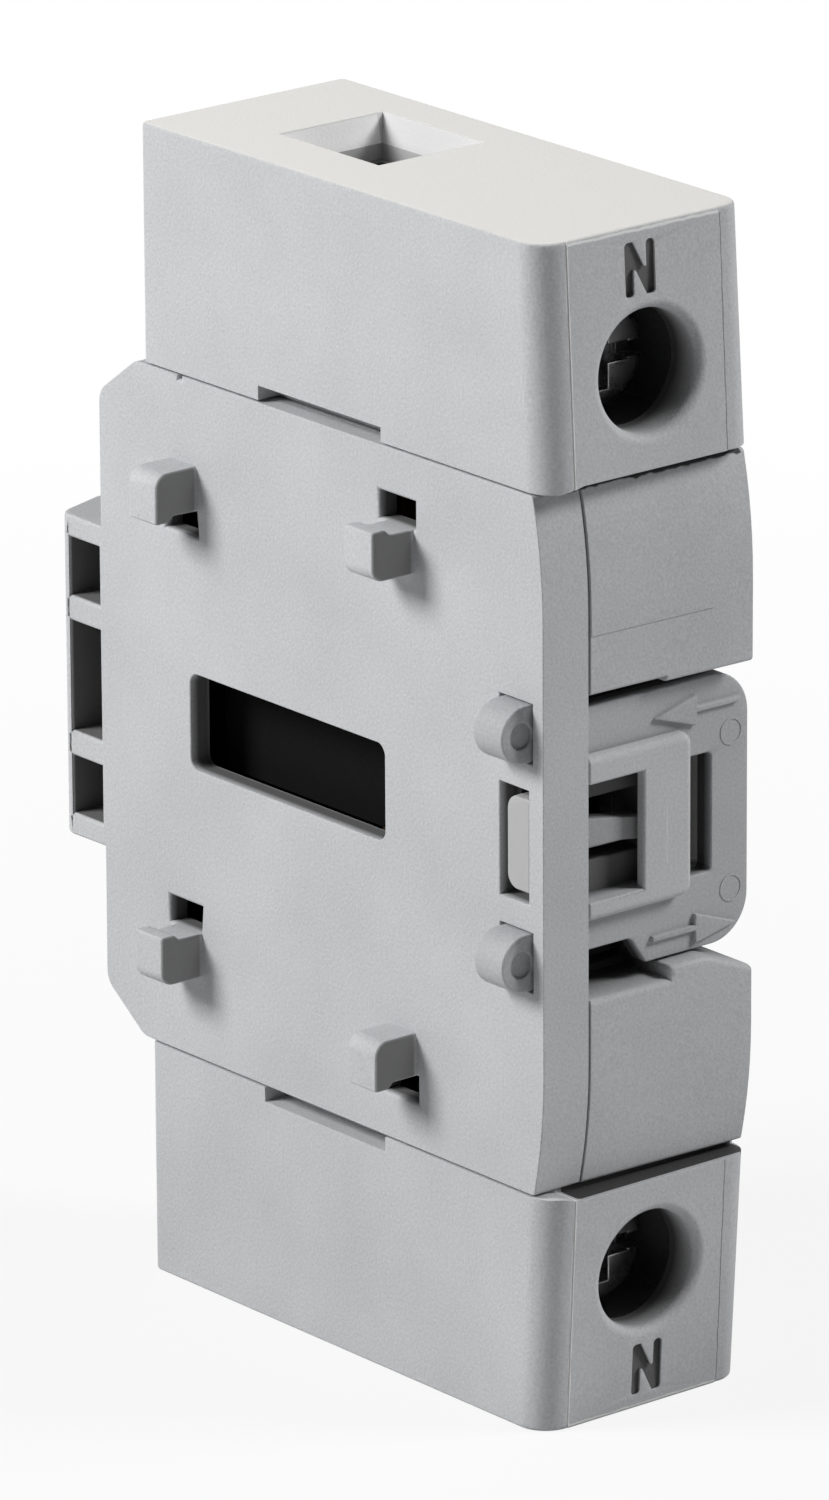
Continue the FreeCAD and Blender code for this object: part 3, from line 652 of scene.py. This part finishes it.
@dataclass
class EdgeRounder:
    """Rounds the outer edges of a piece as far as the faces beside them have room.

    Attributes:
        width: The usual width in millimetres.
        zones: Boxes with a width of their own.
        segments: How many faces a rounded edge has across.
        above: Edges sharper than this many degrees are rounded.
        share: How much of the room beside it an edge may take.
        turn: Edges that turn less than this many degrees run on from each other.
        facing: Edges face each other where their ways' dot product is under this.
        most_room: The room in metres where nothing faces an edge.
    """

    width: float
    zones: Sequence[Zone] = ()
    segments: int = 3
    above: float = 28.0
    share: float = 0.4
    turn: float = 35.0
    facing: float = -0.2
    most_room: float = 1.0

    def apply(self, piece: bpy.types.Object) -> None:
        """Round the edges of a piece and shade it.

        Args:
            piece: A welded piece.
        """
        widest = max([self.width] + [zone.width for zone in self.zones]) * MM
        Bench.select_only(piece)
        mesh = bmesh.new()
        mesh.from_mesh(piece.data)
        weights = mesh.edges.layers.float.new("bevel_weight_edge")
        widths = {
            edge: min(self._wanted(edge) * MM, self.share * room)
            for edge, room in self._rooms(mesh).items()
        }
        for edge, width in self._evened(widths).items():
            edge[weights] = width / widest
        mesh.to_mesh(piece.data)
        mesh.free()
        bevel = piece.modifiers.new("rounding", "BEVEL")
        bevel.width = widest
        bevel.segments = self.segments
        bevel.limit_method = "WEIGHT"
        bevel.use_clamp_overlap = False
        bevel.loop_slide = False
        bpy.ops.object.modifier_apply(modifier=bevel.name)
        Bench.finish_shading(piece, self.above)

    def _evened(
        self, widths: dict[bmesh.types.BMEdge, float]
    ) -> dict[bmesh.types.BMEdge, float]:
        """Give edges that run on from each other one width, so that no corner becomes a spike.

        Args:
            widths: Each edge's own width, in metres.

        Returns:
            Each edge's width, the least in its run.
        """
        straight = math.cos(math.radians(self.turn))
        evened = dict(widths)
        for first in sorted(widths, key=lambda edge: widths[edge]):
            run = [first]
            for edge in run:
                for vertex in edge.verts:
                    way = (edge.other_vert(vertex).co - vertex.co).normalized()
                    for other in vertex.link_edges:
                        if other is edge or other not in evened or evened[other] <= evened[first]:
                            continue
                        onward = (other.other_vert(vertex).co - vertex.co).normalized()
                        if way.dot(onward) < -straight:
                            evened[other] = evened[first]
                            run.append(other)
        return evened

    def _wanted(self, edge: bmesh.types.BMEdge) -> float:
        """The width that an edge is meant to have, in millimetres.

        Args:
            edge: The edge.

        Returns:
            The width of the last zone that holds all of it, or the usual width.
        """
        width = self.width
        for zone in self.zones:
            if all(zone.holds(vertex.co) for vertex in edge.verts):
                width = zone.width
        return width

    def _rooms(self, mesh: bmesh.types.BMesh) -> dict[bmesh.types.BMEdge, float]:
        """The room beside each sharp edge that stands out.

        Args:
            mesh: The piece's mesh.

        Returns:
            Distance from each such edge to the nearest edge that faces it across a face.
        """
        limit = math.radians(self.above)
        sharp = {e for e in mesh.edges if len(e.link_faces) == 2 and e.calc_face_angle(0.0) > limit}
        rooms = {edge: self.most_room for edge in sharp if edge.is_convex}
        for patch in self._patches(mesh, sharp):
            border = self._border(patch, sharp)
            starts, middles, runs, inwards = (
                np.array([getattr(side, part) for side in border])
                for part in ("start", "middle", "run", "inward")
            )
            lengths = np.linalg.norm(runs, axis=1)
            ways = runs / lengths[:, None]
            for index, side in enumerate(border):
                facing = ways @ ways[index] < self.facing
                ahead = (middles - middles[index]) @ inwards[index] > WELD
                chosen = np.nonzero(facing & ahead)[0]
                if side.edge not in rooms or not len(chosen):
                    continue
                offset = middles[index] - starts[chosen]
                along = np.einsum("ij,ij->i", offset, ways[chosen])
                along = np.clip(along, 0.0, lengths[chosen])
                nearest = starts[chosen] + ways[chosen] * along[:, None]
                gap = float(np.linalg.norm(nearest - middles[index], axis=1).min())
                rooms[side.edge] = min(rooms[side.edge], gap)
        return rooms

    @staticmethod
    def _patches(
        mesh: bmesh.types.BMesh, sharp: set[bmesh.types.BMEdge]
    ) -> Iterable[list[bmesh.types.BMFace]]:
        """Faces that join each other without a sharp edge.

        Args:
            mesh: The piece's mesh.
            sharp: Its sharp edges.

        Yields:
            Each group of faces.
        """
        seen: set[bmesh.types.BMFace] = set()
        for first in mesh.faces:
            if first in seen:
                continue
            seen.add(first)
            patch = [first]
            for face in patch:
                for edge in face.edges:
                    if edge in sharp:
                        continue
                    for other in edge.link_faces:
                        if other not in seen:
                            seen.add(other)
                            patch.append(other)
            yield patch

    @staticmethod
    def _border(
        patch: list[bmesh.types.BMFace], sharp: set[bmesh.types.BMEdge]
    ) -> list[BorderEdge]:
        """The sharp edges round a patch.

        Args:
            patch: The patch's faces.
            sharp: The mesh's sharp edges.

        Returns:
            Each edge, with its run in the sense round its face and the way into that face.
        """
        border = []
        for face in patch:
            for loop in face.loops:
                if loop.edge in sharp:
                    start = loop.vert.co
                    run = loop.link_loop_next.vert.co - start
                    inward = face.normal.cross(run).normalized()
                    border.append(BorderEdge(loop.edge, start, start + run / 2, run, inward))
        return border


@dataclass
class Mouldings:
    """The plastic pieces, with their mould-rounded edges; widths are in millimetres."""

    finish: bpy.types.Material
    frame_finish: bpy.types.Material
    shaded_slide_finish: bpy.types.Material
    nodes: dict[str, bpy.types.Object]
    body_edge: float = 0.25
    strip_edge: float = 0.5
    ledge_edge: float = 0.45
    seam_edge: float = 0.05
    window_edge: float = 0.12
    terminal_edge: float = 0.28
    mark_edge: float = 0.05
    slide_edge: float = 0.18
    frame_edge: float = 0.2

    def _body_zones(self) -> list[Zone]:
        """Where the middle body is crisp, and its softer ledge.

        Returns:
            Its zones.
        """
        seam = self.seam_edge
        return [
            Zone(seam, x=(3.5, 4.1), y=(-27.0, -24.0)),
            Zone(2 * seam, z=(23.7, 24.0)),
            Zone(2 * seam, z=(-24.0, -23.7)),
            Zone(self.ledge_edge, x=(3.9, 17.6), y=(-27.0, -25.9), z=(-12.0, -9.5)),
        ]

    def _plate_zones(self) -> list[Zone]:
        """Where the side plate is crisp, and its softer front corner.

        Returns:
            Its zones.
        """
        seam = self.seam_edge
        return [
            Zone(self.strip_edge, x=(-0.1, 0.1), y=(-27.0, -25.0)),
            Zone(seam, x=(3.5, 4.1), y=(-27.0, -24.0)),
            Zone(2 * seam, z=(23.6, 24.0)),
            Zone(2 * seam, z=(-24.0, -23.6)),
            Zone(self.window_edge, x=(-0.1, 1.8), y=(-10.2, 10.6), z=(-3.5, 3.5)),
            Zone(self.window_edge, x=(-0.1, 1.8), y=(-25.4, -21.5), z=(-10.0, 10.0)),
        ]

    def _terminal_zones(self, end: int) -> list[Zone]:
        """Where a terminal housing is crisp.

        Args:
            end: 1 for the upper one and -1 for the lower one.

        Returns:
            Its zones.
        """
        def span(low: float, high: float) -> Span:
            """A span along Z at this housing's end.

            Args:
                low: The lower limit at the upper end.
                high: The upper limit at the upper end.

            Returns:
                The span.
            """
            return (low, high) if end > 0 else (-high, -low)

        seam = self.seam_edge
        return [
            Zone(seam, z=span(21.0, 25.2)),
            Zone(seam, x=(2.0, 15.3), y=(-27.0, -23.0), z=span(23.9, 40.4)),
            Zone(0.0, x=(4.0, 14.0), y=(-27.0, -23.0), z=span(26.0, 35.8)),
            Zone(self.mark_edge, x=(6.5, 11.0), y=(-27.0, -23.0), z=span(35.7, 39.9)),
            Zone(2 * seam, x=(4.9, 13.9), y=(-4.0, 6.7), z=span(36.0, 40.6)),
        ]

    def build(self) -> None:
        """Make every moulding."""
        shell = (Body.HOUSING, Slot.HOUSING, self.finish)
        frame = (Body.HOUSING, Slot.SLIDE, self.frame_finish)
        slide = (Body.SLIDE, Slot.SLIDE, self.shaded_slide_finish)
        plan = [
            ("main_housing", *shell, self.body_edge, self._body_zones()),
            ("side_plate", *shell, self.body_edge, self._plate_zones()),
            ("upper_terminal_housing", *shell, self.terminal_edge, self._terminal_zones(1)),
            ("lower_terminal_housing", *shell, self.terminal_edge, self._terminal_zones(-1)),
            ("retaining_frame", *frame, self.frame_edge, []),
            ("locking_slide", *slide, self.slide_edge, []),
        ]
        for name, body, slot, finish, width, zones in plan:
            piece = Bench.copy_of(self.nodes[name], "moulded_" + name)
            EdgeRounder(width, zones).apply(piece)
            Bench.dress(piece, finish, body, slot, name)


@dataclass
class TerminalScrews:
    """The two clamp screws, with broken edges that glint; the width is in millimetres."""

    finish: bpy.types.Material
    nodes: dict[str, bpy.types.Object]
    edge: float = 0.14

    def build(self) -> None:
        """Make both screws."""
        for body in (Body.UPPER_SCREW, Body.LOWER_SCREW):
            node = body.value.replace("_screw", "_terminal_screw")
            piece = Bench.copy_of(self.nodes[node], "turned_" + node)
            EdgeRounder(self.edge, segments=2).apply(piece)
            Bench.dress(piece, self.finish, body, Slot.SCREW, node)


@dataclass(frozen=True)
class Lamp:
    """A soft square lamp that looks at a point.

    Attributes:
        name: Its name.
        place: Where it stands.
        target: What it looks at.
        size: Its side in metres.
        power: Its power in watts.
    """

    name: str
    place: Point
    target: Point
    size: float
    power: float

    def build(self) -> None:
        """Set the lamp up."""
        bpy.ops.object.light_add(type="AREA", location=self.place)
        lamp = bpy.context.view_layer.objects.active
        lamp.name = self.name
        lamp.data.size = self.size
        lamp.data.energy = self.power
        lamp.visible_camera = False
        aim = Vector(self.target) - Vector(self.place)
        lamp.rotation_euler = aim.to_track_quat("-Z", "Y").to_euler()


@dataclass(frozen=True)
class Studio:
    """Floor, lights, world and camera.

    Attributes:
        floor_level: The floor's height in metres.
        floor_span: The floor's side in metres.
        floor_colour: The floor's colour under the object.
        glow_span: Distances in metres between which the floor turns to white.
        glow: The share of white at those distances, as the camera sees it.
        camera_place: Where the camera stands.
        camera_turn: Its rotation in degrees.
        camera_reach: The nearest and the furthest distance it sees.
        lens: Its focal length in millimetres.
        sensor: Its sensor's width in millimetres.
        ambient: The surround's strength as a light.
        lamps: The lamps.
    """

    floor_level: float = -40.5 * MM
    floor_span: float = 3.0
    floor_colour: Colour = (0.6, 0.6, 0.6)
    glow_span: Span = (0.05, 0.22)
    glow: Span = (0.86, 1.0)
    camera_place: Point = (-0.446888, -0.556400, 0.235000)
    camera_turn: Point = (71.80603, 0.30596, -39.54330)
    camera_reach: Span = (0.05, 20.0)
    lens: float = 272.366
    sensor: float = 36.0
    ambient: float = 0.04
    lamps: Sequence[Lamp] = (
        Lamp("key_lamp", (-0.37, 0.215, 0.30), (0.0, 0.0, 0.01), 0.2, 3.25),
        Lamp("fill_lamp", (0.58, -0.50, 0.60), (0.0, -0.02, 0.0), 0.3, 7.0),
    )

    def floor(self) -> None:
        """A floor that keeps the object's shadow and glows white for the camera further out."""
        place = (0.0, 0.0, self.floor_level)
        bpy.ops.mesh.primitive_plane_add(size=self.floor_span, location=place)
        floor = bpy.context.view_layer.objects.active
        floor.name = "studio_floor"
        graph = Graph.for_material("pale_floor")
        seen = graph.node("ShaderNodeLightPath")["Is Camera Ray"]
        inputs = {"Color": (*grey(1.0), 1.0), "Strength": 1.0}
        white = graph.node("ShaderNodeEmission", None, inputs)["Emission"]
        inputs = {"Color": (*self.floor_colour, 1.0)}
        matte = graph.node("ShaderNodeBsdfDiffuse", None, inputs)["BSDF"]
        inputs = {0: graph.coordinates()}
        away = graph.node("ShaderNodeVectorMath", {"operation": "LENGTH"}, inputs)["Value"]
        inputs = {0: seen * away.ramp(*self.glow_span, *self.glow), 1: matte, 2: white}
        mixed = graph.node("ShaderNodeMixShader", None, inputs)["Shader"]
        graph.node("ShaderNodeOutputMaterial", None, {"Surface": mixed})
        floor.data.materials.append(graph.owner)

    def world(self) -> None:
        """A dim even surround, bright for the camera and in reflections."""
        world = bpy.data.worlds.new("studio")
        bpy.context.scene.world = world
        graph = Graph(world)
        path = graph.node("ShaderNodeLightPath")
        seen = path["Is Camera Ray"].larger(path["Is Glossy Ray"])
        inputs = {"Strength": seen.ramp(0.0, 1.0, self.ambient, 1.0)}
        background = graph.node("ShaderNodeBackground", None, inputs)["Background"]
        graph.node("ShaderNodeOutputWorld", None, {"Surface": background})

    def camera(self) -> None:
        """The camera, at the photograph's place and angle."""
        turn = tuple(math.radians(angle) for angle in self.camera_turn)
        bpy.ops.object.camera_add(location=self.camera_place, rotation=turn)
        camera = bpy.context.view_layer.objects.active
        camera.name = "photo_camera"
        camera.data.sensor_width = self.sensor
        camera.data.lens = self.lens
        camera.data.clip_start, camera.data.clip_end = self.camera_reach
        bpy.context.scene.camera = camera

    def build(self) -> None:
        """Set the whole studio up."""
        self.floor()
        self.world()
        for lamp in self.lamps:
            lamp.build()
        self.camera()
        bpy.context.scene.view_settings.view_transform = "Standard"


class Tone(Enum):
    """Colours of the patches, from the palest to the darkest; all but the flow line are painted light
    or painted shade.
    """

    # Painted light on the wire funnel's walls.
    LIT_WALL = grey(0.90)
    # Painted highlight: the flash ridges made pale as if they catch the light.
    FLASH = grey(0.72)
    # Painted light: the top end is the housing's plastic, made lighter where the light from above
    # falls, with a slight cream tint.
    CREAM = (0.662, 0.655, 0.632)
    # Painted light, half as strong, on the funnel's side wall.
    HALF_LIT_WALL = grey(0.66)
    FLOW_LINE = grey(0.57)
    # Painted shade: the frame's recessed foot made darker.
    FOOT = (0.41, 0.41, 0.415)
    # Painted shade on the funnel's walls further down.
    DIM_WALL = grey(0.40)
    # Painted shade on the hooks' front sides.
    UNDERSIDE = grey(0.25)
    # Painted shade: a dark line along the front panel's right mould line, where its step is in shade.
    MOULD_LINE = grey(0.16)
    # Painted shade in the ladder pockets.
    POCKET = grey(0.15)
    # Painted shade on the inner walls of the side plate's windows and holes.
    WINDOW_WALL = grey(0.12)
    # Painted shade in the engraved letter.
    LETTER = grey(0.11)
    FRAME_SHADE = grey(0.08)
    SHADE = grey(0.07)
    # Painted shade in the bay behind the slide.
    BAY = grey(0.06)
    # Painted shade deep in the funnel, the chambers, the hollow and a gap.
    DARK = grey(0.05)
    # Painted shade in the gap under the terminal housing.
    GAP = grey(0.03)


def terminal_patches() -> list[Patch]:
    """Patches of the upper end, all painted light and shade: painted light on the top and the wire
    funnel's walls, painted shade deep in the funnel, painted highlights on the flash lines, and
    painted shade along the mould line, in the letter, the screw hole and the chamber, and beside the
    hooks.

    Returns:
        The patches.
    """
    funnel = {"x": (4.85, 13.95), "y": (-3.95, 6.65)}
    front = (-27.4, -24.6)
    hook_shade = {"colour": Tone.UNDERSIDE.value, "x": (-3.6, -0.1), "soft": 0.2}
    return [
        # Painted light on the top end face.
        Patch(Tone.CREAM.value, z=(40.38, 41.0), soft=0.1),
        # Painted light on the funnel's walls, then painted shade lower down.
        Patch(Tone.LIT_WALL.value, z=(38.45, 40.44), **funnel),
        Patch(Tone.HALF_LIT_WALL.value, x=(13.25, 13.95), y=funnel["y"], z=(38.45, 40.44)),
        Patch(Tone.DIM_WALL.value, z=(37.35, 38.5), **funnel),
        # Painted shade deep in the funnel.
        Patch(Tone.DARK.value, z=(35.0, 37.42), **funnel),
        # Painted highlights along the flash ridges at the left and top of the front panel.
        Patch(Tone.FLASH.value, x=(2.08, 2.30), y=front, z=(24.0, 40.2), ragged=0.04),
        Patch(Tone.FLASH.value, x=(2.20, 15.0), y=front, z=(40.14, 40.36), ragged=0.05),
        # Painted shade along the mould line at the front panel's right edge.
        Patch(Tone.MOULD_LINE.value, x=(15.02, 15.20), y=front, z=(24.4, 40.2), ragged=0.04),
        # Painted shade in the floor of the engraved N.
        Patch(
            Tone.LETTER.value, x=(6.8, 10.4), y=(-28.12, -27.5), z=(35.7, 39.7), soft=0.12, lean=0.0545
        ),
        # Painted shade on the screw hole's wall, deepening inwards.
        Patch(
            Tone.SHADE.value, x=(4.4, 13.4), y=(-26.0, -20.0), z=(26.3, 35.2), soft=0.2, fade=1.8
        ),
        # Painted shade inside the terminal chamber.
        Patch(Tone.DARK.value, x=(1.7, 15.8), y=(-23.75, 13.4), z=(25.7, 35.8), soft=0.2),
        # Painted shade on the front sides of the two hooks.
        Patch(y=(8.9, 9.62), z=(14.0, 19.0), **hook_shade),
        Patch(y=(-13.7, -12.98), z=(14.0, 20.0), **hook_shade),
    ]


def body_patches() -> list[Patch]:
    """Painted shade of the middle: in the slide's bay, the gaps, the ladder pockets, the plate windows
    and the hollow.

    Returns:
        The patches.
    """
    return [
        # Painted shade in the slide's bay, deepening inwards.
        Patch(
            Tone.BAY.value, x=(1.9, 17.44), y=(-25.9, -15.0), z=(-12.0, 10.5), soft=0.15, fade=3.4
        ),
        # Painted shade in the gap above the lower terminal housing.
        Patch(Tone.DARK.value, x=(2.6, 17.3), y=(-26.5, -24.7), z=(-24.56, -23.9)),
        # Painted shade in the ladder pockets.
        Patch(Tone.POCKET.value, x=(0.15, 12.3), y=(20.05, 23.6), z=(-9.95, 9.95), soft=0.15),
        # Painted shade in the gap under the upper terminal housing.
        Patch(
            Tone.GAP.value, x=(1.5, 17.3), y=(-26.9, -24.0), z=(23.55, 24.0), soft=0.12, ragged=0.12
        ),
        # Painted shade on the inner walls of the side plate's windows and holes.
        Patch(
            Tone.WINDOW_WALL.value, x=(0.2, 1.9), y=(-25.7, 13.4), z=(-21.5, 21.5), soft=0.5, fade=0.3
        ),
        # Painted shade inside the hollow of the middle.
        Patch(Tone.DARK.value, x=(1.8, 16.0), y=(-19.9, 17.2), z=(-22.3, 22.3), soft=0.2),
    ]


def housing_patches() -> list[Patch]:
    """All painted light and shade of the housing's mouldings.

    Returns:
        The patches, the upper end's also at the lower end.
    """
    upper = terminal_patches()
    return upper + [patch.mirrored() for patch in upper] + body_patches()


def frame_patches() -> list[Patch]:
    """The flow line on the retaining frame's bar, the painted shade between its bars, and painted
    shade on its foot.

    Returns:
        The patches.
    """
    return [
        Patch(Tone.FLOW_LINE.value, x=(10.5, 10.64), y=(-26.4, -26.0), z=(-3.0, 1.0), ragged=0.06),
        Patch(Tone.FRAME_SHADE.value, x=(2.6, 20.0), y=(-25.5, -15.0), soft=0.8, fade=1.3),
        # Painted shade on the frame's recessed foot.
        Patch(Tone.FOOT.value, x=(-0.5, 2.0), y=(-25.0, -15.0), soft=0.1),
    ]


def slide_patches() -> list[Patch]:
    """The shade on the slide's inner edges.

    Returns:
        The patches.
    """
    return [Patch(Tone.SHADE.value, x=(2.4, 17.4), y=(-25.15, -15.0), soft=0.6, fade=0.7)]


def main() -> None:
    """Load the frame, dress every piece and light the scene."""
    logging.basicConfig(level=logging.INFO, format="%(name)s: %(message)s")
    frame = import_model()
    nodes = frame["nodes"]
    housing = MouldedPlastic(
        "housing_grey", (0.471, 0.477, 0.488), patches=housing_patches()
    ).material()
    holding = MouldedPlastic(
        "frame_grey", (0.475, 0.481, 0.493), grain_strength=0.4, patches=frame_patches()
    ).material()
    # Painted shade: the slide's grey is darker than the frame's same plastic because the slide sits
    # further back.
    shaded_slide = MouldedPlastic(
        "slide_grey_shaded", (0.40, 0.406, 0.417), grain_strength=0.4, patches=slide_patches()
    ).material()
    # A black cover whose colour is pushed far below black plastic, as painted shade for the interior
    # seen through the windows.
    black_cover_and_shade = MouldedPlastic("cover_black_and_shade", grey(0.004), roughness=0.85, gloss=0.1).material()
    plated = DullMetal("plated_clamp", (0.62, 0.60, 0.55)).material()
    screw = DullMetal("screw_steel", (0.42, 0.42, 0.43), roughness=0.24).material()
    copper = DullMetal("bar_copper", (0.45, 0.25, 0.17), roughness=0.5).material()
    finishes = {
        "busbar_cover": black_cover_and_shade,
        "neutral_busbar": copper,
        "upper_clamp_cage": plated,
        "lower_clamp_cage": plated,
    }
    for name, finish in finishes.items():
        nodes[name].data.materials.clear()
        nodes[name].data.materials.append(finish)
    Mouldings(housing, holding, shaded_slide, nodes).build()
    TerminalScrews(screw, nodes).build()
    Studio().build()


if __name__ == "__main__":
    main()
